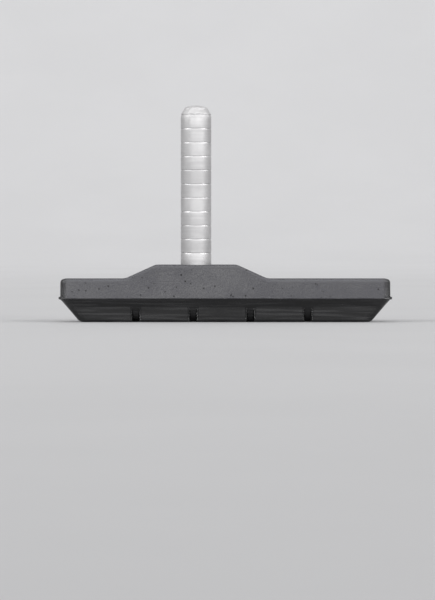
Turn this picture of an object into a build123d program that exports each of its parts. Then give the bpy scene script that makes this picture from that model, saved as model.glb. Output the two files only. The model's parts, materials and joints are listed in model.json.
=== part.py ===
from build123d import *
import os
from math import floor, radians, tan

# Smooth-post rim brake pad: a rubber block moulded round a steel strip that carries a plain metal post.
# Millimetres. The friction face lies on Z = 0, the block runs along X and the post points up along Z.

# Parting lip, the widest line of the rubber, where the two halves of the mould meet
PAD_LENGTH = 76.0
PAD_WIDTH = 12.6
LIP_THICKNESS = 0.6
LIP_PROUD = 0.4
LIP_EDGE_BEVEL = 0.2

# Back of the rubber, above the lip
BACK_RISE = 4.7
BACK_DRAFT = 8.0
BACK_CORNER_RADIUS = 1.7
BACK_EDGE_RADIUS = 0.8

# Hump on the back, round the post
HUMP_RISE = 3.2
HUMP_CREST_LENGTH = 18.7
HUMP_RAMP_LENGTH = 7.05
HUMP_FOOT_RADIUS = 3.5
HUMP_CREST_RADIUS = 3.0

# Friction block, below the lip, with slanted ends and flanks that flare out to the lip
FRICTION_DEPTH = 4.5
END_RUN = 4.4
FLARE_RUN = 0.9
FLARE_RISE = 1.6
FRICTION_CORNER_RADIUS = 1.7
FRICTION_BEVEL = 0.6

# Water notches in both flanks of the friction block, whose inner walls slant up into the flare
NOTCH_COUNT = 4
NOTCH_PITCH = 13.06
NOTCH_SHIFT = 0.8
NOTCH_WIDTH = 1.25
NOTCH_INSET = 2.1
NOTCH_HEIGHT = 4.0
NOTCH_MOUTH_RADIUS = 0.9

# Post, with a bevelled and crowned end
POST_DIAMETER = 7.0
POST_OFFSET = 6.7
POST_REACH = 36.5
POST_BEVEL_RUN = 0.8
POST_BEVEL_RISE = 1.25
POST_CROWN_RISE = 0.75

# Turned rings that let a clamp grip the post
RING_PITCH = 3.155
RING_START = 2.6
RING_WIDTH = 0.44
RING_DEPTH = 0.18

# Steel strip inside the rubber, which covers it on every side
PLATE_THICKNESS = 1.6
PLATE_TOP_COVER = 1.6
PLATE_SIDE_COVER = 2.0
PLATE_END_COVER = 5.6

# Foot of the post: a neck that the rubber grips, riveted through the strip
NECK_DIAMETER = 6.0
RIVET_DIAMETER = 4.8
RIVET_HEAD_DIAMETER = 6.8
RIVET_HEAD_THICKNESS = 1.2

# Levels, outlines and places that follow from the sizes above
LIP_TOP = FRICTION_DEPTH + LIP_THICKNESS
BACK_TOP = LIP_TOP + BACK_RISE
HUMP_TOP = BACK_TOP + HUMP_RISE
POST_TIP = HUMP_TOP + POST_REACH
SHANK_END = POST_TIP - POST_CROWN_RISE - POST_BEVEL_RISE
PLATE_TOP = BACK_TOP - PLATE_TOP_COVER
PLATE_BOTTOM = PLATE_TOP - PLATE_THICKNESS
BACK_LENGTH = PAD_LENGTH - 2 * LIP_PROUD
BACK_WIDTH = PAD_WIDTH - 2 * LIP_PROUD
FRICTION_LENGTH = BACK_LENGTH - 2 * END_RUN
FRICTION_WIDTH = BACK_WIDTH - 2 * FLARE_RUN
FLARE_START = FRICTION_DEPTH - FLARE_RISE
PLATE_LENGTH = BACK_LENGTH - 2 * PLATE_END_COVER
PLATE_WIDTH = BACK_WIDTH - 2 * PLATE_SIDE_COVER
POST_PLACE = Pos(-POST_OFFSET, 0, 0)


def along_length(section, half_length):
    """Bar with the closed line as its cross-section, half_length to each side of the middle."""
    return extrude(Plane.YZ * make_face(section), half_length, both=True)


def across_width(side_view):
    """Slab with the closed line as its side view, wider than the pad."""
    return extrude(Plane.XZ * make_face(side_view), PAD_WIDTH, both=True)


def end_corners(block):
    """Edges that climb the block's four corners, where its ends meet its flanks."""
    faces = block.faces().sort_by(Axis.X)
    ends = [faces[0], faces[-1]]
    return [edge for end in ends for edge in end.edges().filter_by(Axis.Y, reverse=True)]


def outer_rim(faces):
    """Edges that belong to only one of the faces."""
    edges = [edge for face in faces for edge in face.edges()]
    return [edge for edge in edges if sum(edge.is_same(other) for other in edges) == 1]


def make_back():
    """Back of the rubber: a drafted bar with round corners, cut off along its humped crown, then rounded."""
    section_top = HUMP_TOP + HUMP_RISE
    half_base = BACK_WIDTH / 2
    half_top = half_base - (section_top - LIP_TOP) * tan(radians(BACK_DRAFT))
    section = Polyline(
        (-half_base, LIP_TOP),
        (half_base, LIP_TOP),
        (half_top, section_top),
        (-half_top, section_top),
        close=True,
    )
    bar = along_length(section, BACK_LENGTH / 2)
    bar = fillet(end_corners(bar), BACK_CORNER_RADIUS)
    half_crest = HUMP_CREST_LENGTH / 2
    half_foot = half_crest + HUMP_RAMP_LENGTH
    crown = FilletPolyline(
        (-PAD_LENGTH, BACK_TOP),
        (-POST_OFFSET - half_foot, BACK_TOP),
        (-POST_OFFSET - half_crest, HUMP_TOP),
        (-POST_OFFSET + half_crest, HUMP_TOP),
        (-POST_OFFSET + half_foot, BACK_TOP),
        (PAD_LENGTH, BACK_TOP),
        radius=[HUMP_FOOT_RADIUS, HUMP_CREST_RADIUS, HUMP_CREST_RADIUS, HUMP_FOOT_RADIUS],
    )
    below_crown = Polyline((PAD_LENGTH, BACK_TOP), (PAD_LENGTH, 0), (-PAD_LENGTH, 0), (-PAD_LENGTH, BACK_TOP))
    back = bar & across_width(crown.edges() + below_crown.edges())
    half_rise = LIP_TOP + BACK_RISE / 2
    top_faces = [face for face in back.faces() if face.bounding_box().min.Z > half_rise]
    return fillet(outer_rim(top_faces), BACK_EDGE_RADIUS)


def make_lip():
    """Thin lip round the parting line."""
    outline = RectangleRounded(PAD_LENGTH, PAD_WIDTH, BACK_CORNER_RADIUS + LIP_PROUD)
    lip = extrude(Pos(0, 0, FRICTION_DEPTH) * outline, LIP_THICKNESS)
    return chamfer(lip.faces().filter_by(Axis.Z).edges(), LIP_EDGE_BEVEL)


def make_friction_block():
    """Friction block: its slanted side view crossed with its flared section, then notched and bevelled."""
    half_face = FRICTION_LENGTH / 2
    half_length = BACK_LENGTH / 2
    side_view = Polyline(
        (-half_face, 0),
        (half_face, 0),
        (half_length, FRICTION_DEPTH),
        (-half_length, FRICTION_DEPTH),
        close=True,
    )
    half_flank = FRICTION_WIDTH / 2
    half_width = BACK_WIDTH / 2
    section = Polyline(
        (-half_flank, 0),
        (half_flank, 0),
        (half_flank, FLARE_START),
        (half_width, FRICTION_DEPTH),
        (-half_width, FRICTION_DEPTH),
        (-half_flank, FLARE_START),
        close=True,
    )
    block = along_length(section, PAD_LENGTH) & across_width(side_view)
    block = fillet(end_corners(block), FRICTION_CORNER_RADIUS)
    notch = make_notch()
    for number in range(NOTCH_COUNT):
        place = Pos((number - (NOTCH_COUNT - 1) / 2) * NOTCH_PITCH - NOTCH_SHIFT, 0, 0)
        block -= [place * notch, place * mirror(notch, Plane.XZ)]
    friction_face = block.faces().sort_by(Axis.Z)[0]
    return chamfer(friction_face.edges(), FRICTION_BEVEL)


def make_notch():
    """Space of one water notch in the flank at +Y: a plan that widens to its mouth, up to a slanted wall."""
    flank = FRICTION_WIDTH / 2
    mouth_width = NOTCH_WIDTH + 2 * NOTCH_MOUTH_RADIUS
    mouth = Rectangle(mouth_width, PAD_WIDTH, align=(Align.CENTER, Align.MIN))
    for side in (-1, 1):
        mouth -= Pos(side * mouth_width / 2, 0) * Circle(NOTCH_MOUTH_RADIUS)
    channel = Rectangle(NOTCH_WIDTH, PAD_WIDTH, align=(Align.CENTER, Align.MIN))
    plan = channel + Pos(0, flank - NOTCH_MOUTH_RADIUS) * mouth
    wall_foot = flank - NOTCH_INSET
    wall_top = flank + (NOTCH_HEIGHT - FLARE_START) * FLARE_RUN / FLARE_RISE
    wall_run = (wall_top - wall_foot) * FRICTION_DEPTH / NOTCH_HEIGHT
    outside_wall = Polyline(
        (wall_foot, 0),
        (wall_foot + wall_run, FRICTION_DEPTH),
        (PAD_WIDTH, FRICTION_DEPTH),
        (PAD_WIDTH, 0),
        close=True,
    )
    return extrude(plan, FRICTION_DEPTH) & along_length(outside_wall, mouth_width)


def make_plate():
    """Steel strip with round ends and a hole for the rivet."""
    strip = SlotOverall(PLATE_LENGTH, PLATE_WIDTH) - POST_PLACE * Circle(RIVET_DIAMETER / 2)
    return extrude(Pos(0, 0, PLATE_BOTTOM) * strip, PLATE_THICKNESS)


def make_post():
    """Post turned in one piece: rivet head, rivet, neck, shank with rings, and crowned end."""
    shank = POST_DIAMETER / 2
    neck = NECK_DIAMETER / 2
    rivet = RIVET_DIAMETER / 2
    head = RIVET_HEAD_DIAMETER / 2
    head_bottom = PLATE_BOTTOM - RIVET_HEAD_THICKNESS
    points = [
        (0, POST_TIP),
        (0, head_bottom),
        (head, head_bottom),
        (head, PLATE_BOTTOM),
        (rivet, PLATE_BOTTOM),
        (rivet, PLATE_TOP),
        (neck, PLATE_TOP),
        (neck, HUMP_TOP),
        (shank, HUMP_TOP),
    ]
    for ring in ring_heights():
        points += [(shank, ring - RING_WIDTH / 2), (shank - RING_DEPTH, ring), (shank, ring + RING_WIDTH / 2)]
    crown_edge = shank - POST_BEVEL_RUN
    crown_foot = POST_TIP - POST_CROWN_RISE
    points += [(shank, SHANK_END), (crown_edge, crown_foot)]
    crown_radius = (crown_edge**2 + POST_CROWN_RISE**2) / (2 * POST_CROWN_RISE)
    crown = RadiusArc((crown_edge, crown_foot), (0, POST_TIP), -crown_radius)
    profile = make_face(Polyline(*points).edges() + crown.edges())
    return POST_PLACE * revolve(Plane.XZ * profile, Axis.Z)


def ring_heights():
    """Heights of the turned rings, from the hump up to the bevelled end."""
    first = HUMP_TOP + RING_START
    count = floor((SHANK_END - RING_WIDTH / 2 - first) / RING_PITCH) + 1
    return [first + number * RING_PITCH for number in range(count)]


backing_plate = make_plate()
post = make_post()
rubber_block = make_friction_block() + make_lip() + make_back() - backing_plate - post

os.makedirs("parts", exist_ok=True)
export_step(rubber_block, "parts/rubber_block.step")
export_step(post, "parts/post.step")
export_step(backing_plate, "parts/backing_plate.step")
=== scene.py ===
import json
import math
from contextlib import contextmanager
from types import SimpleNamespace
from typing import NamedTuple

import bmesh
import bpy
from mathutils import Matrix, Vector


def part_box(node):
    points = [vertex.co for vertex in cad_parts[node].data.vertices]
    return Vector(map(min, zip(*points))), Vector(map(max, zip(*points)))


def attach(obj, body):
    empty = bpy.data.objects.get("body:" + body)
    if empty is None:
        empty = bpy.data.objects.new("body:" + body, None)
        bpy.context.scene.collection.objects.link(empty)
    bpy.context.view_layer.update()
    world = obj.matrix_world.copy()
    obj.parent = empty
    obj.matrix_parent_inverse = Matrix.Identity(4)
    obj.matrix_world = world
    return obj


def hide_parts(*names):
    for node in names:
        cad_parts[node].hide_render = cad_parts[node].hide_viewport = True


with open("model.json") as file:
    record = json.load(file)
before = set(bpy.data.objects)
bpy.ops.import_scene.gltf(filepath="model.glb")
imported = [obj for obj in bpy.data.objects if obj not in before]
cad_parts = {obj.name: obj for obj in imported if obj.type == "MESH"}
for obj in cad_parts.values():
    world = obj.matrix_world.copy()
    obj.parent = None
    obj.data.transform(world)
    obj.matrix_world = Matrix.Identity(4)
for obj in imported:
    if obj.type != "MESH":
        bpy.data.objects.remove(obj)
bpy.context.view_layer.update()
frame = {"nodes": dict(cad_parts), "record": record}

bl_info = {
    "name": "Smooth-post brake pad",
    "version": (1, 0, 0),
    "blender": (4, 5, 0),
    "location": "View3D > Sidebar > Brake pad",
    "description": "Models a moulded rubber brake pad on a turned post, with its finishes and a photo stage",
    "category": "Add Mesh",
}

# Names of the finished pieces and the body that carries them
RUBBER_PIECE = "moulded_rubber"
POST_PIECE = "turned_post"
BODY = "root"

# Lowest and highest corners of the solids, and the mount that gives the post's place and radius
RUBBER_LOW, RUBBER_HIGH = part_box("rubber_block")
POST_LOW, POST_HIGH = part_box("post")
PLATE_LOW, PLATE_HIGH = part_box("backing_plate")
POST_MOUNT = next(mount for mount in frame["record"]["mounts"] if mount["name"] == "post")

# The photograph's frame, which the camera copies
PHOTO_WIDTH = 435
PHOTO_HEIGHT = 600
PAD_CENTRE_PIXEL = 225.25
FRICTION_FACE_PIXEL = 321.4
PIXELS_PER_MM = 4.358

# Pieces are shaped in millimetres and brought to metres when they are done
MM = 0.001

# How near two lengths are to count as the same, and how straight a face looks along an axis
# to count as square to it
TOUCH = 0.002
FACING = 0.99

# Directions and places
ALONG = (1, 0, 0)
UP = (0, 0, 1)
SIDES = (-1, 1)
ORIGIN = (0, 0, 0)

# Steps in each rounding, and round the post
HUMP_SEGMENTS = 6
CORNER_SEGMENTS = 10
EDGE_SEGMENTS = 5
LIP_SEGMENTS = 3
NOTCH_SEGMENTS = 8
BEVEL_STEPS = 6
CROWN_STEPS = 14
POST_SIDES = 128
PAPER_SEGMENTS = 16

# Edges that meet at less than these angles are shaded as one smooth surface
RUBBER_SMOOTH_ANGLE = math.radians(25)
POST_SMOOTH_ANGLE = math.radians(24)

# The back and the friction block reach into the lip by one of this many parts of its thickness
SINK_PARTS = 3

# Fine sizes of the rubber, in millimetres
CREASE_ROUNDING = 0.25
RIM_MARGIN = 0.1
SHOULDER_CLEARANCE = 0.03

# Turns of one ring: place in its width and share of its depth
RING_SHAPE = ((-0.5, 0), (0.3, 0.8), (0.42, 1), (0.5, 0))

# Uneven edges, with lengths in millimetres: the lumps, the flash along the lip and the post's cut end.
# A level is the lump height, from 0 to 1, at which the surface stays where it was.
LUMP_SIZE = 0.8
LUMP_DETAIL = 3
FLASH_STEP = 0.8
FLASH_DEPTH = 0.15
FLASH_LEVEL = 1
ROUGH_END_LENGTH = 0.9
ROUGH_END_DEPTH = 0.2
ROUGH_END_LEVEL = 0.85

# Patterns, in cells per metre, the same all round or along each axis
RUBBER_GRAIN = 2600
RUBBER_PATCHES = 90
RUBBER_PITS = 620
RUBBER_STREAKS = (90, 900, 2200)
POST_PATCHES = 180
TURNING_LINES = (60, 60, 1300)
STEEL_PATCHES = 120
ROLLING_LINES = (60, 3000, 3000)
PAPER_PATCHES = 12

# Fineness of the patterns, and the noise levels between which patches, pits and streaks come in
GRAIN_DETAIL = 3
PATCH_DETAIL = 4
LINE_DETAIL = 3
PATCH_EDGES = (0.36, 0.66)
PIT_EDGES = (0.06, 0.16)
PIT_RAGGEDNESS = (-0.2, 0.2)
STREAK_THRESHOLD = 0.48
STREAK_CONTRAST = 7.0

# Roughness, all over or from the lows to the highs of the pattern that varies it
TOP_ROUGHNESS = 0.72
FLANK_ROUGHNESS = (0.15, 0.65)
FLANK_PATCHINESS = (0.82, 1.18)
FRICTION_ROUGHNESS = (0.10, 0.32)
PIT_ROUGHNESS = 0.9
TURNED_ROUGHNESS = (0.34, 0.60)
CUT_ROUGHNESS = 0.6
ROLLED_ROUGHNESS = (0.30, 0.55)
PAPER_ROUGHNESS = 0.9
PAPER_SPECULAR = 0.1

# How far patches and grain change the rubber's haze, how far the haze thins out towards the ends of the back
# as painted shade, and how far lines change the post's dullness
HAZE_PATCHINESS = (0.75, 1.0)
HAZE_GRAININESS = (0.2, 1.6)
PAINTED_END_SHADE_HAZE = (1, 0.2)
DULL_LINES = (-0.6, 2.2)

# Tone of the darker patches, as a share of the colour
STEEL_SHADE = 0.7
PAPER_SHADE = 0.98

# Where finishes fade into each other, in metres: up from the lip's foot, inside the flanks, inside the ends
# of the back where the painted shade at the ends comes in, and to each side of the start of the post's rough
# end
BACK_FADE = 0.5 * MM
FLANK_FADE = (1.0 * MM, 0.4 * MM)
END_SHADE_FADE = (2.1 * MM, 0.4 * MM)
ROUGH_FADE = 0.4 * MM

# Relief in metres, and how strongly it shows
RUBBER_RELIEF = 0.09 * MM
RUBBER_RELIEF_STRENGTH = 0.4
TURNING_RELIEF = 0.03 * MM
TURNING_RELIEF_STRENGTH = 0.35

# Sheet of paper under and behind the pad, in metres
PAPER_SIZE = 2.4
PAPER_SHIFT = 0.3
PAPER_RISE = 1.5
PAPER_CURVE = 0.6

# Node groups, kinds of socket and places of a mix node's colour sockets
GRAIN_NAME = "Surface grain"
LINES_NAME = "Drawn lines"
VALUE = "NodeSocketFloat"
VECTOR = "NodeSocketVector"
FIRST_COLOUR = 6
SECOND_COLOUR = 7
MIXED_COLOUR = 2


def length(name, description, default):
    """A size in metres that the sidebar shows with its unit."""
    return bpy.props.FloatProperty(
        name=name, description=description, default=default, unit="LENGTH", precision=5
    )


def angle(name, description, degrees):
    """An angle, given in degrees."""
    return bpy.props.FloatProperty(
        name=name, description=description, default=math.radians(degrees), unit="ROTATION"
    )


def colour(name, description, default):
    """A linear colour."""
    return bpy.props.FloatVectorProperty(
        name=name, description=description, default=default, subtype="COLOR", size=3, min=0, max=1
    )


class PostSizes(bpy.types.PropertyGroup):
    """Sizes of the turned post"""

    axis: length("Axis", "Place of the post along the pad", POST_MOUNT["pos_m"][0])
    radius: length("Radius", "Radius of the shank", POST_MOUNT["dims"]["r_mm"] * MM)
    shank_foot: length("Shank foot", "Height at which the shank stands on the rubber", RUBBER_HIGH.z)
    tip: length("Tip", "Height of the post's end", POST_HIGH.z)
    head_bottom: length("Rivet head bottom", "Lowest level of the rivet inside the rubber", POST_LOW.z)
    bevel_run: length("Bevel run", "How far the end's bevel leans in", 0.0008)
    bevel_rise: length("Bevel rise", "Height of the end's bevel", 0.00125)
    crown_rise: length("Crown rise", "Height of the crowned end above its bevel", 0.00075)
    ring_start: length("First ring", "Height of the first ring above the rubber", 0.0026)
    ring_pitch: length("Ring pitch", "Distance from ring to ring", 0.003155)
    ring_width: length("Ring width", "Width of a ring", 0.00044)
    ring_depth: length("Ring depth", "Depth of a ring", 0.00013)
    neck_radius: length("Neck radius", "Radius of the neck that the rubber grips", 0.003)
    rivet_radius: length("Rivet radius", "Radius of the rivet in the steel strip", 0.0024)
    head_radius: length("Rivet head radius", "Radius of the rivet's head", 0.0034)


class RubberSizes(bpy.types.PropertyGroup):
    """Sizes of the moulded rubber block"""

    pad_length: length("Pad length", "Length over the parting lip", RUBBER_HIGH.x - RUBBER_LOW.x)
    pad_width: length("Pad width", "Width over the parting lip", RUBBER_HIGH.y - RUBBER_LOW.y)
    hump_top: length("Hump top", "Height of the hump above the friction face", RUBBER_HIGH.z)
    hump_rise: length("Hump rise", "Height of the hump above the back", 0.0032)
    hump_crest: length("Hump crest", "Length of the hump's flat top", 0.0187)
    hump_ramp: length("Hump ramp", "Length of the slope at each end of the hump", 0.00705)
    hump_foot_radius: length("Hump foot radius", "Rounding where the slope leaves the back", 0.0035)
    hump_crest_radius: length("Hump crest radius", "Rounding where the slope meets the hump's top", 0.003)
    friction_depth: length("Friction depth", "Height of the friction block up to the lip", 0.00515)
    lip_thickness: length("Lip thickness", "Thickness of the parting lip", 0.0006)
    lip_proud: length("Lip proud", "How far the lip stands out of the back", 0.0004)
    lip_edge: length("Lip edge", "Rounding of the lip's edges", 0.0002)
    back_draft: angle("Back draft", "Lean of the back's flanks", 8)
    back_corner: length("Back corner", "Radius of the back's four corners", 0.0017)
    back_edge: length("Back edge", "Rounding of the back's upper rim", 0.0008)
    end_run: length("End run", "How far each slanted end of the friction block leans in", 0.0044)
    flare_run: length("Flare run", "How far the friction flanks flare out to the lip", 0.0009)
    flare_rise: length("Flare rise", "Height of that flare", 0.0016)
    friction_corner: length("Friction corner", "Radius of the friction block's corners", 0.0017)
    friction_bevel: length("Friction bevel", "Bevel round the friction face", 0.0006)
    notch_count: bpy.props.IntProperty(name="Notches", description="Notches in each flank", default=4)
    notch_pitch: length("Notch pitch", "Distance from notch to notch", 0.01306)
    notch_shift: length("Notch shift", "How far the row of notches lies towards the post's end", 0.0008)
    notch_width: length("Notch width", "Width of a notch at its inner wall", 0.00125)
    notch_inset: length("Notch inset", "Depth of a notch at the friction face", 0.0021)
    notch_height: length("Notch height", "Height at which a notch runs out in the flare", 0.004)
    notch_mouth: length("Notch mouth", "Rounding of a notch's mouth", 0.0009)


class PadFinish(bpy.types.PropertyGroup):
    """Colours of the pad"""

    rubber: colour("Rubber", "Black of the friction block", (0.004, 0.004, 0.0044))
    rubber_streak: colour("Rubber streak", "Grey of the friction block's streaks", (0.016, 0.016, 0.017))
    rubber_haze: colour("Rubber haze", "Paler grey of the rubber's hazy back", (0.030, 0.0295, 0.037))
    aluminium: colour("Aluminium", "Colour of the post", (0.66, 0.655, 0.66))
    aluminium_dull: colour("Dull aluminium", "Colour of the post where it is dull", (0.57, 0.565, 0.57))
    steel: colour("Steel", "Colour of the strip", (0.50, 0.50, 0.51))


class StageSettings(bpy.types.PropertyGroup):
    """Camera, paper and light"""

    distance: length("Camera distance", "From the camera to the pad", 0.585)
    elevation: angle("Camera elevation", "Height of the camera above the horizon", 1.6)
    paper: colour("Paper", "Colour of the floor and backdrop", (0.68, 0.68, 0.69))
    world: bpy.props.FloatProperty(
        name="World light", description="Strength of the white light from all round", default=0.5
    )


def millimetres(group):
    """The group's values by name, with its lengths in millimetres."""
    values = {}
    for prop in group.bl_rna.properties:
        value = getattr(group, prop.identifier)
        is_length = getattr(prop, "unit", "") == "LENGTH"
        values[prop.identifier] = value / MM if is_length else value
    return SimpleNamespace(**values)


def select_only(piece):
    """Selects one piece and makes it the active one."""
    bpy.ops.object.select_all(action="DESELECT")
    piece.select_set(True)
    bpy.context.view_layer.objects.active = piece


@contextmanager
def editing(piece):
    """Edit mode on one piece, with nothing else selected."""
    select_only(piece)
    bpy.ops.object.mode_set(mode="EDIT")
    yield
    bpy.ops.object.mode_set(mode="OBJECT")


def pick(kind, test):
    """Selects only the verts, edges or faces of the edited mesh that pass the test."""
    mesh = bpy.context.edit_object.data
    bpy.ops.mesh.select_mode(type=kind)
    bpy.ops.mesh.select_all(action="DESELECT")
    shape = bmesh.from_edit_mesh(mesh)
    parts = {"VERT": shape.verts, "EDGE": shape.edges, "FACE": shape.faces}[kind]
    chosen = [part for part in parts if test(part)]
    if not chosen:
        raise RuntimeError(f"{bpy.context.edit_object.name}: nothing to select")
    for part in chosen:
        part.select_set(True)
    shape.select_flush_mode()
    bmesh.update_edit_mesh(mesh)


def near(value, target):
    """True where two lengths are as good as the same."""
    return abs(value - target) < TOUCH


def on_level(part, level):
    """True where every corner of the part lies at one height."""
    corners = [part] if isinstance(part, bmesh.types.BMVert) else part.verts
    return all(near(corner.co.z, level) for corner in corners)


def climbs(edge):
    """True where an edge's ends lie at different heights."""
    return not near(edge.verts[0].co.z, edge.verts[1].co.z)


def borders_friction_face(edge):
    """True where just one of the edge's faces looks straight down."""
    return sum(face.normal.z < -FACING for face in edge.link_faces) == 1


def settle(name):
    """Names the primitive that was just added, and moves its place and size into its mesh."""
    bpy.ops.object.transform_apply(location=True, rotation=True, scale=True)
    piece = bpy.context.object
    piece.name = name
    return piece


def add_block(name, low, high):
    """A block between two corners, in millimetres."""
    low, high = Vector(low), Vector(high)
    bpy.ops.object.select_all(action="DESELECT")
    bpy.ops.mesh.primitive_cube_add(size=1, location=(low + high) / 2, scale=high - low)
    return settle(name)


def extrude(offset):
    """Extrudes what is selected in the edited mesh."""
    bpy.ops.mesh.extrude_region_move(TRANSFORM_OT_translate={"value": offset})


def resize(factors, centre=ORIGIN):
    """Scales what is selected in the edited mesh about a point."""
    bpy.ops.transform.resize(value=factors, center_override=centre)


def stretch_level(level, along_x, along_y):
    """Scales the corners at one height about the pad's middle."""
    pick("VERT", lambda vert: on_level(vert, level))
    resize((along_x, along_y, 1))


def slice_block(normal, places):
    """Cuts new edges across the whole edited mesh, square to an axis."""
    for place in places:
        bpy.ops.mesh.select_all(action="SELECT")
        bpy.ops.mesh.bisect(plane_co=Vector(normal) * place, plane_no=normal)


def round_edges(test, offset, segments):
    """Rounds the edges of the edited mesh that pass the test."""
    pick("EDGE", test)
    bpy.ops.mesh.bevel(offset=offset, segments=segments, affect="EDGES", clamp_overlap=False)


def combine(piece, tool, operation):
    """Adds a tool piece to a piece or cuts it away, and removes the tool."""
    modifier = piece.modifiers.new("combine", "BOOLEAN")
    modifier.operation = operation
    modifier.solver = "EXACT"
    modifier.object = tool
    select_only(piece)
    bpy.ops.object.modifier_apply(modifier=modifier.name)
    bpy.data.objects.remove(tool)


def roughen(piece, test, depth, level):
    """Gives lumps of a depth to the verts that pass the test, with the lumps' level on the old surface."""
    group = piece.vertex_groups.new(name="rough")
    group.add([vert.index for vert in piece.data.vertices if test(vert)], 1, "REPLACE")
    lumps = bpy.data.textures.new("lumps", "CLOUDS")
    lumps.noise_scale = LUMP_SIZE
    lumps.noise_depth = LUMP_DETAIL
    modifier = piece.modifiers.new("rough", "DISPLACE")
    modifier.texture = lumps
    modifier.texture_coords = "LOCAL"
    modifier.vertex_group = group.name
    modifier.mid_level = level
    modifier.strength = depth
    select_only(piece)
    bpy.ops.object.modifier_apply(modifier=modifier.name)
    piece.vertex_groups.clear()


def to_metres(piece, name):
    """Brings a piece that was shaped in millimetres to its real size."""
    piece.scale = (MM, MM, MM)
    select_only(piece)
    bpy.ops.object.transform_apply(location=True, rotation=True, scale=True)
    piece.name = name
    piece.data.name = name


def shade(piece, sharp_from):
    """Smooth shading that keeps flat faces flat, and edges sharp from an angle on."""
    select_only(piece)
    bpy.ops.object.shade_smooth_by_angle(angle=sharp_from)
    modifier = piece.modifiers.new("flat faces", "WEIGHTED_NORMAL")
    modifier.keep_sharp = True
    bpy.ops.object.modifier_apply(modifier=modifier.name)


def shank_end(size):
    """Height at which the post's bevelled end starts."""
    return size.tip - size.crown_rise - size.bevel_rise


def post_turns(size):
    """Radius and height of every turn of the post, from the rivet's head up to the crown."""
    plate_bottom = PLATE_LOW.z / MM
    plate_top = PLATE_HIGH.z / MM
    bevel_foot = shank_end(size)
    turns = [
        (size.head_radius, size.head_bottom),
        (size.head_radius, plate_bottom),
        (size.rivet_radius, plate_bottom),
        (size.rivet_radius, plate_top),
        (size.neck_radius, plate_top),
        (size.neck_radius, size.shank_foot),
        (size.radius, size.shank_foot),
    ]
    ring = size.shank_foot + size.ring_start
    while ring + size.ring_width / 2 < bevel_foot:
        for place, depth in RING_SHAPE:
            turns.append((size.radius - depth * size.ring_depth, ring + place * size.ring_width))
        ring += size.ring_pitch
    # One more turn at full width, among the rings, where the rough end starts
    turns.append((size.radius, bevel_foot - ROUGH_END_LENGTH))
    turns.sort(key=lambda turn: turn[1])
    for step in range(BEVEL_STEPS + 1):
        share = step / BEVEL_STEPS
        turns.append((size.radius - share * size.bevel_run, bevel_foot + share * size.bevel_rise))
    crown_edge = size.radius - size.bevel_run
    for step in range(1, CROWN_STEPS):
        lean = math.pi / 2 * step / CROWN_STEPS
        turns.append((crown_edge * math.cos(lean), size.tip - size.crown_rise * (1 - math.sin(lean))))
    # The small flat in the middle of the crown is the tip
    last_radius, _ = turns.pop()
    turns.append((last_radius, size.tip))
    return turns


def build_up(turns, axis):
    """A round piece built up from a disc, turn by turn, about an upright axis."""
    radius, height = turns[0]
    bpy.ops.object.select_all(action="DESELECT")
    bpy.ops.mesh.primitive_circle_add(
        vertices=POST_SIDES, radius=radius, fill_type="NGON", location=(axis, 0, height)
    )
    piece = settle("turned piece")
    with editing(piece):
        bpy.ops.mesh.select_all(action="SELECT")
        for next_radius, next_height in turns[1:]:
            extrude((0, 0, next_height - height))
            widening = next_radius / radius
            resize((widening, widening, 1), (axis, 0, next_height))
            radius, height = next_radius, next_height
        bpy.ops.mesh.select_all(action="SELECT")
        bpy.ops.mesh.normals_make_consistent(inside=False)
    return piece


class PAD_OT_turn_post(bpy.types.Operator):
    """Turns the post with its rings, rough crowned end and riveted foot"""

    bl_idname = "brake_pad.turn_post"
    bl_label = "Turn post"

    def execute(self, context):
        size = millimetres(context.scene.pad_post)
        post = build_up(post_turns(size), size.axis)
        smooth_up_to = shank_end(size) - ROUGH_END_LENGTH + TOUCH
        roughen(post, lambda vert: vert.co.z > smooth_up_to, ROUGH_END_DEPTH, ROUGH_END_LEVEL)
        to_metres(post, POST_PIECE)
        shade(post, POST_SMOOTH_ANGLE)
        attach(post, BODY)
        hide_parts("post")
        return {"FINISHED"}


def hump_stations(size):
    """Place along the pad and lift of each line across the hump's rounded feet and crests."""
    turn = math.atan2(size.hump_rise, size.hump_ramp)
    foot_reach = size.hump_crest / 2 + size.hump_ramp + size.hump_foot_radius * math.tan(turn / 2)
    crest_reach = size.hump_crest / 2 - size.hump_crest_radius * math.tan(turn / 2)
    profile = []
    for step in range(HUMP_SEGMENTS + 1):
        lean = turn * step / HUMP_SEGMENTS
        run = math.sin(lean)
        rise = 1 - math.cos(lean)
        crest_lift = size.hump_rise - size.hump_crest_radius * rise
        profile.append((foot_reach - size.hump_foot_radius * run, size.hump_foot_radius * rise))
        profile.append((crest_reach + size.hump_crest_radius * run, crest_lift))
    return [(size.hump_axis + side * reach, lift) for side in SIDES for reach, lift in profile]


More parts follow.
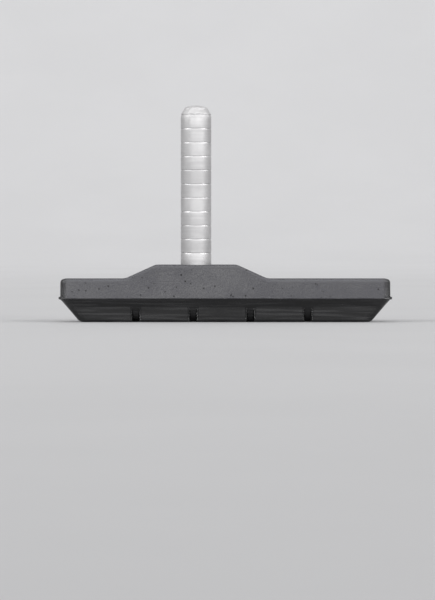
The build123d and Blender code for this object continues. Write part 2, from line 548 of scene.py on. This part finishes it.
def shape_back(size):
    """The back of the rubber: a drafted bar with round corners and rim, and a hump pulled up out of it."""
    lip_top = size.friction_depth + size.lip_thickness
    foot = lip_top - size.lip_thickness / SINK_PARTS
    back_top = size.hump_top - size.hump_rise
    rim_foot = back_top - size.back_edge - RIM_MARGIN
    half_length = size.pad_length / 2 - size.lip_proud
    half_width = size.pad_width / 2 - size.lip_proud
    draft = math.tan(size.back_draft)
    stations = hump_stations(size)

    def on_crown(vert, side):
        """True for a corner of the top or its rim, on one side of the middle."""
        return vert.co.z > rim_foot - TOUCH and vert.co.y * side > 0

    back = add_block("back", (-half_length, -half_width, foot), (half_length, half_width, back_top))
    with editing(back):
        for level in (foot, back_top):
            stretch_level(level, 1, 1 - (level - lip_top) * draft / half_width)
        round_edges(climbs, size.back_corner, CORNER_SEGMENTS)
        round_edges(lambda edge: on_level(edge, back_top), size.back_edge, EDGE_SEGMENTS)
        slice_block(UP, [lip_top + RIM_MARGIN, rim_foot])
        slice_block(ALONG, [place for place, _ in stations])
        for place, lift in stations:
            for side in SIDES:
                pick("VERT", lambda vert: near(vert.co.x, place) and on_crown(vert, side))
                bpy.ops.transform.translate(value=(0, -side * lift * draft, lift))
    return back


def shape_lip(size):
    """The thin lip round the parting line, with uneven flash along its edge."""
    half_length = size.pad_length / 2
    half_width = size.pad_width / 2
    bottom = size.friction_depth
    top = bottom + size.lip_thickness
    steps = range(1, int(size.pad_length / FLASH_STEP))
    lip = add_block("lip", (-half_length, -half_width, bottom), (half_length, half_width, top))
    with editing(lip):
        round_edges(climbs, size.back_corner + size.lip_proud, CORNER_SEGMENTS)
        round_edges(lambda edge: not climbs(edge), size.lip_edge, LIP_SEGMENTS)
        slice_block(ALONG, [step * FLASH_STEP - half_length for step in steps])
    roughen(lip, lambda vert: abs(vert.co.y) > half_width - size.lip_proud, FLASH_DEPTH, FLASH_LEVEL)
    return lip


def shape_friction_block(size):
    """The friction block, with its slanted ends, flared flanks, notches and bevelled face."""
    half_length = size.pad_length / 2 - size.lip_proud
    half_width = size.pad_width / 2 - size.lip_proud
    top = size.friction_depth + size.lip_thickness / SINK_PARTS
    flare_start = size.friction_depth - size.flare_rise
    flank = half_width - size.flare_run
    block = add_block("friction block", (-half_length, -half_width, 0), (half_length, half_width, top))
    with editing(block):
        slice_block(UP, [flare_start])
        for level in (0, flare_start, top):
            end = half_length + (level - size.friction_depth) * size.end_run / size.friction_depth
            flare = max(level - flare_start, 0) * size.flare_run / size.flare_rise
            stretch_level(level, end / half_length, (flank + flare) / half_width)
        round_edges(climbs, size.friction_corner, CORNER_SEGMENTS)
        round_edges(lambda edge: on_level(edge, flare_start), CREASE_ROUNDING, LIP_SEGMENTS)
    combine(block, shape_notches(size, flank, flare_start), "DIFFERENCE")
    with editing(block):
        round_edges(borders_friction_face, size.friction_bevel, EDGE_SEGMENTS)
    return block


def shape_notches(size, flank, flare_start):
    """All the notches as one cutting piece: one is shaped and the others are copies of it."""
    half_width = size.notch_width / 2
    mouth = size.notch_mouth
    shoulder = flank + SHOULDER_CLEARANCE
    widening = (half_width + mouth + SHOULDER_CLEARANCE) / half_width
    wall_foot = flank - size.notch_inset
    wall_top = flank + (size.notch_height - flare_start) * size.flare_run / size.flare_rise
    wall_slope = (wall_top - wall_foot) / size.notch_height
    first = -(size.notch_count - 1) / 2 * size.notch_pitch - size.notch_shift

    def on_shoulder(vert):
        """True where the narrow channel meets the wide mouth."""
        return near(vert.co.y, shoulder) and near(abs(vert.co.x), half_width)

    notch = add_block("notch", (-half_width, 0, -mouth), (half_width, shoulder, size.friction_depth))
    with editing(notch):
        pick("FACE", lambda face: face.normal.y > FACING)
        extrude(ORIGIN)
        resize((widening, 1, 1))
        extrude((0, size.pad_width, 0))
        round_edges(lambda edge: climbs(edge) and all(map(on_shoulder, edge.verts)), mouth, NOTCH_SEGMENTS)
        # The inner wall slants out, up into the flare
        bpy.ops.mesh.select_all(action="SELECT")
        bpy.ops.mesh.bisect(
            plane_co=(0, wall_foot, 0), plane_no=(0, 1, -wall_slope), use_fill=True, clear_inner=True
        )
        # The other flank's notch is a mirror image
        bpy.ops.mesh.select_all(action="SELECT")
        bpy.ops.mesh.duplicate()
        resize((1, -1, 1))
        bpy.ops.mesh.flip_normals()
        bpy.ops.mesh.select_all(action="SELECT")
        bpy.ops.transform.translate(value=(first, 0, 0))
        for _ in range(size.notch_count - 1):
            bpy.ops.mesh.duplicate_move(TRANSFORM_OT_translate={"value": (size.notch_pitch, 0, 0)})
    return notch


def shape_strip_seat():
    """The room that the steel strip takes up in the rubber, with its round ends."""
    low, high = PLATE_LOW / MM, PLATE_HIGH / MM
    seat = add_block("strip seat", low, high)
    with editing(seat):
        round_edges(climbs, (high.y - low.y) / 2 - TOUCH, CORNER_SEGMENTS)
    return seat


def copy_of_post():
    """A copy of the turned post in millimetres, to cut its seat in the rubber."""
    copy = bpy.data.objects[POST_PIECE].copy()
    copy.data = copy.data.copy()
    copy.parent = None
    copy.scale = (1 / MM, 1 / MM, 1 / MM)
    bpy.context.collection.objects.link(copy)
    return copy


class PAD_OT_mould_rubber(bpy.types.Operator):
    """Moulds the rubber block round the steel strip and the foot of the post"""

    bl_idname = "brake_pad.mould_rubber"
    bl_label = "Mould rubber block"

    def execute(self, context):
        size = millimetres(context.scene.pad_rubber)
        size.hump_axis = millimetres(context.scene.pad_post).axis
        rubber = shape_back(size)
        combine(rubber, shape_lip(size), "UNION")
        combine(rubber, shape_strip_seat(), "DIFFERENCE")
        combine(rubber, copy_of_post(), "DIFFERENCE")
        combine(rubber, shape_friction_block(size), "UNION")
        to_metres(rubber, RUBBER_PIECE)
        shade(rubber, RUBBER_SMOOTH_ANGLE)
        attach(rubber, BODY)
        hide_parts("rubber_block")
        return {"FINISHED"}


def add_node(tree, kind, inputs, **settings):
    """A node with its settings, whose inputs are linked where a socket is given and set otherwise."""
    made = tree.nodes.new(kind)
    for key, value in settings.items():
        setattr(made, key, value)
    for key, value in inputs.items():
        if isinstance(value, bpy.types.NodeSocket):
            tree.links.new(value, made.inputs[key])
        else:
            made.inputs[key].default_value = value
    return made


def add_ramp(tree, value, start, end):
    """A mask that rises softly from 0 where the value is at the start to 1 at the end."""
    ramp = add_node(
        tree,
        "ShaderNodeMapRange",
        {"Value": value, "From Min": start, "From Max": end},
        interpolation_type="SMOOTHSTEP",
    )
    return ramp.outputs["Result"]


def add_group(name, inputs, outputs):
    """An empty shader node group with named sockets: the group, what goes in and what comes out."""
    tree = bpy.data.node_groups.new(name, "ShaderNodeTree")
    for label, kind in inputs.items():
        tree.interface.new_socket(label, in_out="INPUT", socket_type=kind)
    for label in outputs:
        tree.interface.new_socket(label, in_out="OUTPUT", socket_type=VALUE)
    return tree, tree.nodes.new("NodeGroupInput").outputs, tree.nodes.new("NodeGroupOutput").inputs


def grain_group():
    """Fine grain and broad patches, for rubber, metal and paper."""
    tree, given, result = add_group(
        GRAIN_NAME, {"Vector": VECTOR, "Grain Scale": VALUE, "Patch Scale": VALUE}, ("Height", "Patches")
    )
    fine = add_node(
        tree,
        "ShaderNodeTexNoise",
        {"Vector": given["Vector"], "Scale": given["Grain Scale"], "Detail": GRAIN_DETAIL},
    )
    broad = add_node(
        tree,
        "ShaderNodeTexNoise",
        {"Vector": given["Vector"], "Scale": given["Patch Scale"], "Detail": PATCH_DETAIL},
    )
    patches = add_ramp(tree, broad.outputs["Fac"], *PATCH_EDGES)
    tree.links.new(fine.outputs["Fac"], result["Height"])
    tree.links.new(patches, result["Patches"])
    return tree


def lines_group():
    """Fine lines along one direction, for turned and rolled metal and streaked rubber."""
    tree, given, result = add_group(
        LINES_NAME, {"Vector": VECTOR, "Stretch": VECTOR, "Threshold": VALUE}, ("Height", "Streaks")
    )
    stretched = add_node(
        tree, "ShaderNodeVectorMath", {0: given["Vector"], 1: given["Stretch"]}, operation="MULTIPLY"
    )
    lines = add_node(
        tree, "ShaderNodeTexNoise", {"Vector": stretched.outputs[0], "Scale": 1, "Detail": LINE_DETAIL}
    )
    height = lines.outputs["Fac"]
    above = add_node(tree, "ShaderNodeMath", {0: height, 1: given["Threshold"]}, operation="SUBTRACT")
    streaks = add_node(
        tree,
        "ShaderNodeMath",
        {0: above.outputs[0], 1: STREAK_CONTRAST},
        operation="MULTIPLY",
        use_clamp=True,
    )
    tree.links.new(height, result["Height"])
    tree.links.new(streaks.outputs[0], result["Streaks"])
    return tree


def opaque(tone):
    """A colour with its alpha."""
    return (*tone, 1)


def darker(tone, share):
    """A share of a colour."""
    return [part * share for part in tone]


class Surface:
    """A material in the making: its nodes, its shader and the piece's own coordinates."""

    def __init__(self, name):
        self.material = bpy.data.materials.new(name)
        self.material.use_nodes = True
        self.tree = self.material.node_tree
        self.shader = self.tree.nodes["Principled BSDF"]
        self.place = self.add("ShaderNodeTexCoord", {}).outputs["Object"]

    def add(self, kind, inputs, **settings):
        """A node of the material."""
        return add_node(self.tree, kind, inputs, **settings)

    def axes(self):
        """The piece's own X, Y and Z."""
        return self.add("ShaderNodeSeparateXYZ", {"Vector": self.place}).outputs

    def pattern(self, group, values):
        """A node group laid over the piece, with this material's values."""
        return self.add("ShaderNodeGroup", {"Vector": self.place, **values}, node_tree=group).outputs

    def calculate(self, operation, *values):
        """The result of one operation on values."""
        return self.add("ShaderNodeMath", dict(enumerate(values)), operation=operation).outputs[0]

    def product(self, first, *others):
        """All the values multiplied."""
        for other in others:
            first = self.calculate("MULTIPLY", first, other)
        return first

    def ramp(self, value, start, end):
        """A mask that rises softly from 0 where the value is at the start to 1 at the end."""
        return add_ramp(self.tree, value, start, end)

    def spread(self, value, ends):
        """A value from 0 to 1, spread between two ends."""
        low, high = ends
        made = self.add("ShaderNodeMapRange", {"Value": value, "To Min": low, "To Max": high})
        return made.outputs["Result"]

    def mix(self, mask, off, on):
        """One value where the mask is 0, and another where it is 1."""
        return self.add("ShaderNodeMix", {"Factor": mask, "A": off, "B": on}).outputs["Result"]

    def mix_colours(self, mask, off, on):
        """One colour where the mask is 0, and another where it is 1."""
        inputs = {"Factor": mask, FIRST_COLOUR: off, SECOND_COLOUR: on}
        return self.add("ShaderNodeMix", inputs, data_type="RGBA").outputs[MIXED_COLOUR]

    def drive(self, socket, value):
        """Lets a value that changes over the surface drive one of the shader's sockets."""
        self.tree.links.new(value, self.shader.inputs[socket])

    def emboss(self, height, distance, strength):
        """Fine relief."""
        bump = self.add("ShaderNodeBump", {"Height": height, "Distance": distance, "Strength": strength})
        self.drive("Normal", bump.outputs["Normal"])


def rubber_zones(surface, size):
    """Masks of the back from the lip up, of its flanks without the top, and of its ends, where shade is
    painted in.
    """
    x, y, z = surface.axes()
    half_length = size.pad_length / 2 - size.lip_proud
    half_width = size.pad_width / 2 - size.lip_proud
    draft = math.tan(size.back_draft)
    flank = half_width + (size.friction_depth + size.lip_thickness) * draft
    drafted_width = surface.calculate("MULTIPLY_ADD", z, draft, surface.calculate("ABSOLUTE", y))
    on_back = surface.ramp(z, size.friction_depth, size.friction_depth + BACK_FADE)
    on_flank = surface.ramp(drafted_width, *(flank - inside for inside in FLANK_FADE))
    painted_end_shade = surface.ramp(surface.calculate("ABSOLUTE", x), *(half_length - inside for inside in END_SHADE_FADE))
    return on_back, on_flank, painted_end_shade


def rubber_material(scene, grain, lines):
    """Moulded black rubber: a hazy satin back with small pits and with painted shade that darkens it towards
    its ends, and a glossier block with fine streaks.
    """
    finish = scene.pad_finish
    surface = Surface("moulded rubber")
    coat = surface.pattern(grain, {"Grain Scale": RUBBER_GRAIN, "Patch Scale": RUBBER_PATCHES})
    block = surface.pattern(lines, {"Stretch": RUBBER_STREAKS, "Threshold": STREAK_THRESHOLD})
    on_back, on_flank, painted_end_shade = rubber_zones(surface, scene.pad_rubber)

    cells = surface.add("ShaderNodeTexVoronoi", {"Vector": surface.place, "Scale": RUBBER_PITS})
    ragged = surface.calculate(
        "ADD", cells.outputs["Distance"], surface.spread(coat["Height"], PIT_RAGGEDNESS)
    )
    off_pits = surface.ramp(ragged, *PIT_EDGES)
    # The haze thins out towards the ends of the back: this is painted shade on its rounded end corners
    haze = surface.product(
        on_back,
        surface.spread(coat["Patches"], HAZE_PATCHINESS),
        surface.spread(painted_end_shade, PAINTED_END_SHADE_HAZE),
        surface.spread(coat["Height"], HAZE_GRAININESS),
    )

    black = surface.mix_colours(block["Streaks"], opaque(finish.rubber), opaque(finish.rubber_streak))
    hazy = surface.product(haze, off_pits)
    surface.drive("Base Color", surface.mix_colours(hazy, black, opaque(finish.rubber_haze)))

    flank = surface.product(
        surface.spread(coat["Height"], FLANK_ROUGHNESS), surface.spread(coat["Patches"], FLANK_PATCHINESS)
    )
    back = surface.mix(off_pits, PIT_ROUGHNESS, surface.mix(on_flank, TOP_ROUGHNESS, flank))
    friction = surface.spread(block["Height"], FRICTION_ROUGHNESS)
    surface.drive("Roughness", surface.mix(on_back, friction, back))
    surface.emboss(surface.product(coat["Height"], haze), RUBBER_RELIEF, RUBBER_RELIEF_STRENGTH)
    return surface.material


def post_material(scene, grain, lines):
    """Turned aluminium: bright, with fine turning lines, duller patches and a matt cut end."""
    finish = scene.pad_finish
    size = millimetres(scene.pad_post)
    surface = Surface("turned aluminium")
    coat = surface.pattern(grain, {"Patch Scale": POST_PATCHES})
    turning = surface.pattern(lines, {"Stretch": TURNING_LINES})

    dull = surface.product(coat["Patches"], surface.spread(turning["Height"], DULL_LINES))
    tone = surface.mix_colours(dull, opaque(finish.aluminium), opaque(finish.aluminium_dull))
    surface.drive("Base Color", tone)

    rough_start = (shank_end(size) - ROUGH_END_LENGTH) * MM
    on_end = surface.ramp(surface.axes()["Z"], rough_start - ROUGH_FADE, rough_start + ROUGH_FADE)
    turned = surface.spread(turning["Height"], TURNED_ROUGHNESS)
    surface.drive("Roughness", surface.mix(on_end, turned, CUT_ROUGHNESS))
    surface.shader.inputs["Metallic"].default_value = 1
    surface.emboss(turning["Height"], TURNING_RELIEF, TURNING_RELIEF_STRENGTH)
    return surface.material


def steel_material(scene, grain, lines):
    """Rolled steel strip, with fine rolling lines and grey patches."""
    steel = scene.pad_finish.steel
    surface = Surface("rolled steel")
    coat = surface.pattern(grain, {"Patch Scale": STEEL_PATCHES})
    rolling = surface.pattern(lines, {"Stretch": ROLLING_LINES})
    tone = surface.mix_colours(coat["Patches"], opaque(steel), opaque(darker(steel, STEEL_SHADE)))
    surface.drive("Base Color", tone)
    surface.drive("Roughness", surface.spread(rolling["Height"], ROLLED_ROUGHNESS))
    surface.shader.inputs["Metallic"].default_value = 1
    return surface.material


class PAD_OT_finish_surfaces(bpy.types.Operator):
    """Gives the rubber, the post and the steel strip their materials"""

    bl_idname = "brake_pad.finish_surfaces"
    bl_label = "Finish surfaces"

    def execute(self, context):
        grain = grain_group()
        lines = lines_group()
        finishes = (
            (bpy.data.objects[RUBBER_PIECE], rubber_material),
            (bpy.data.objects[POST_PIECE], post_material),
            (frame["nodes"]["backing_plate"], steel_material),
        )
        for piece, make_material in finishes:
            material = make_material(context.scene, grain, lines)
            if piece.material_slots:
                piece.material_slots[0].material = material
            else:
                piece.data.materials.append(material)
        return {"FINISHED"}


class Lamp(NamedTuple):
    """A soft rectangular lamp: its place, target and size in metres, and the one piece it lights, if any."""

    name: str
    place: tuple
    target: tuple
    size: tuple
    radiance: float
    lights: str = ""
    glint: bool = False


def both_sides(lamp):
    """A lamp on the left and its mirror image on the right."""
    x, y, z = lamp.place
    return (
        lamp._replace(name=f"left {lamp.name}", place=(-x, y, z)),
        lamp._replace(name=f"right {lamp.name}", place=(x, y, z)),
    )


LAMPS = (
    Lamp(
        name="rubber panel",
        place=(-0.16, -1.19, 0.38),
        target=ORIGIN,
        size=(1.05, 0.50),
        radiance=4.0,
        lights=RUBBER_PIECE,
    ),
    Lamp(
        name="rubber top panel",
        place=(0, -0.50, 0.90),
        target=(0, -0.50, 0),
        size=(1.2, 1.50),
        radiance=2.6,
        lights=RUBBER_PIECE,
    ),
    Lamp(
        name="post panel",
        place=(0.25, -1.20, 0.39),
        target=ORIGIN,
        size=(3.0, 0.50),
        radiance=1.6,
        lights=POST_PIECE,
    ),
    Lamp(
        name="post top panel",
        place=(0, -0.55, 0.85),
        target=(0, 0, 0.03),
        size=(1.2, 0.80),
        radiance=1.2,
        lights=POST_PIECE,
    ),
    *both_sides(
        Lamp(name="box", place=(0.68, -0.22, 0.48), target=ORIGIN, size=(0.65, 0.25), radiance=4.2)
    ),
    *both_sides(
        Lamp(
            name="glint",
            place=(0.070, -0.036, -0.003),
            target=(0, -0.005, 0.002),
            size=(0.040, 0.010),
            radiance=20.0,
            lights=RUBBER_PIECE,
            glint=True,
        )
    ),
    Lamp(
        name="backdrop wash",
        place=(0, 0.75, 1.10),
        target=(0, 1.50, 0.25),
        size=(1.60, 0.40),
        radiance=3.4,
    ),
)


def only_of(piece):
    """A collection of one piece, for lamps that light nothing else."""
    name = f"only {piece}"
    if name not in bpy.data.collections:
        bpy.data.collections.new(name).objects.link(bpy.data.objects[piece])
    return bpy.data.collections[name]


def looking(direction):
    """The turn of a lamp or camera that looks along a direction."""
    return direction.to_track_quat("-Z", "Y").to_euler()


def hang_lamp(lamp):
    """Hangs up a lamp that the camera doesn't see. The glint lamps show in the rubber's gloss alone."""
    bpy.ops.object.light_add(type="AREA", location=lamp.place)
    hung = bpy.context.object
    hung.name = lamp.name
    hung.rotation_euler = looking(Vector(lamp.target) - Vector(lamp.place))
    hung.visible_camera = False
    width, height = lamp.size
    hung.data.shape = "RECTANGLE"
    hung.data.size = width
    hung.data.size_y = height
    hung.data.energy = lamp.radiance * math.pi * width * height
    if lamp.lights:
        hung.light_linking.receiver_collection = only_of(lamp.lights)
    if lamp.glint:
        hung.light_linking.blocker_collection = only_of(lamp.lights)
        hung.visible_diffuse = False


def lay_paper(stage):
    """A sheet of paper that lies under the pad and curves up behind it."""
    bpy.ops.object.select_all(action="DESELECT")
    bpy.ops.mesh.primitive_plane_add(size=PAPER_SIZE, location=(0, PAPER_SHIFT, 0))
    paper = settle("paper")
    far_edge = PAPER_SHIFT + PAPER_SIZE / 2

    def on_far_edge(edge):
        """True for the edge of the paper furthest behind the pad, on the floor."""
        return on_level(edge, 0) and all(near(vert.co.y, far_edge) for vert in edge.verts)

    with editing(paper):
        pick("EDGE", on_far_edge)
        extrude((0, 0, PAPER_RISE))
        round_edges(on_far_edge, PAPER_CURVE, PAPER_SEGMENTS)
    bpy.ops.object.shade_smooth()
    surface = Surface("pale paper")
    coat = surface.pattern(bpy.data.node_groups[GRAIN_NAME], {"Patch Scale": PAPER_PATCHES})
    shadow = darker(stage.paper, PAPER_SHADE)
    surface.drive("Base Color", surface.mix_colours(coat["Patches"], opaque(stage.paper), opaque(shadow)))
    surface.shader.inputs["Roughness"].default_value = PAPER_ROUGHNESS
    surface.shader.inputs["Specular IOR Level"].default_value = PAPER_SPECULAR
    paper.data.materials.append(surface.material)


def light_world(scene, stage):
    """Even white light from all round."""
    world = bpy.data.worlds.new("soft light")
    world.use_nodes = True
    background = world.node_tree.nodes["Background"]
    background.inputs["Color"].default_value = (1, 1, 1, 1)
    background.inputs["Strength"].default_value = stage.world
    scene.world = world


def aim_camera(scene, stage):
    """A camera that frames the pad as the photograph does."""
    metres_per_pixel = MM / PIXELS_PER_MM
    aim_x = (PHOTO_WIDTH / 2 - PAD_CENTRE_PIXEL) * metres_per_pixel
    aim_z = (FRICTION_FACE_PIXEL - PHOTO_HEIGHT / 2) * metres_per_pixel
    to_camera = Vector((0, -math.cos(stage.elevation), math.sin(stage.elevation)))
    bpy.ops.object.camera_add(location=Vector((aim_x, 0, aim_z)) + to_camera * stage.distance)
    camera = bpy.context.object
    camera.rotation_euler = looking(-to_camera)
    view_height = PHOTO_HEIGHT * metres_per_pixel
    camera.data.lens = camera.data.sensor_width * stage.distance / view_height
    scene.camera = camera


class PAD_OT_set_stage(bpy.types.Operator):
    """Sets up the lamps, the paper, the light from all round and the camera"""

    bl_idname = "brake_pad.set_stage"
    bl_label = "Set stage"

    def execute(self, context):
        scene = context.scene
        stage = scene.pad_stage
        for lamp in LAMPS:
            hang_lamp(lamp)
        lay_paper(stage)
        light_world(scene, stage)
        aim_camera(scene, stage)
        scene.view_settings.view_transform = "Standard"
        return {"FINISHED"}


class PAD_PT_sidebar(bpy.types.Panel):
    """Lists the steps that make the pad, and the sizes and colours they use"""

    bl_idname = "PAD_PT_sidebar"
    bl_label = "Brake pad"
    bl_space_type = "VIEW_3D"
    bl_region_type = "UI"
    bl_category = "Brake pad"

    def draw(self, context):
        for step in STEPS:
            self.layout.operator(step.bl_idname)
        for name, group in GROUPS.items():
            box = self.layout.box()
            box.label(text=group.__doc__)
            for prop in group.__annotations__:
                box.prop(getattr(context.scene, name), prop)


STEPS = (PAD_OT_turn_post, PAD_OT_mould_rubber, PAD_OT_finish_surfaces, PAD_OT_set_stage)
GROUPS = {
    "pad_post": PostSizes,
    "pad_rubber": RubberSizes,
    "pad_finish": PadFinish,
    "pad_stage": StageSettings,
}
CLASSES = (*GROUPS.values(), *STEPS, PAD_PT_sidebar)


def register():
    """Makes the steps, the sidebar and the settings known to Blender."""
    for cls in CLASSES:
        bpy.utils.register_class(cls)
    for name, group in GROUPS.items():
        setattr(bpy.types.Scene, name, bpy.props.PointerProperty(type=group))


def unregister():
    """Takes them away again."""
    for name in GROUPS:
        delattr(bpy.types.Scene, name)
    for cls in reversed(CLASSES):
        bpy.utils.unregister_class(cls)


def main():
    """Makes the pad and its stage."""
    register()
    bpy.ops.brake_pad.turn_post()
    bpy.ops.brake_pad.mould_rubber()
    bpy.ops.brake_pad.finish_surfaces()
    bpy.ops.brake_pad.set_stage()


if __name__ == "__main__":
    main()
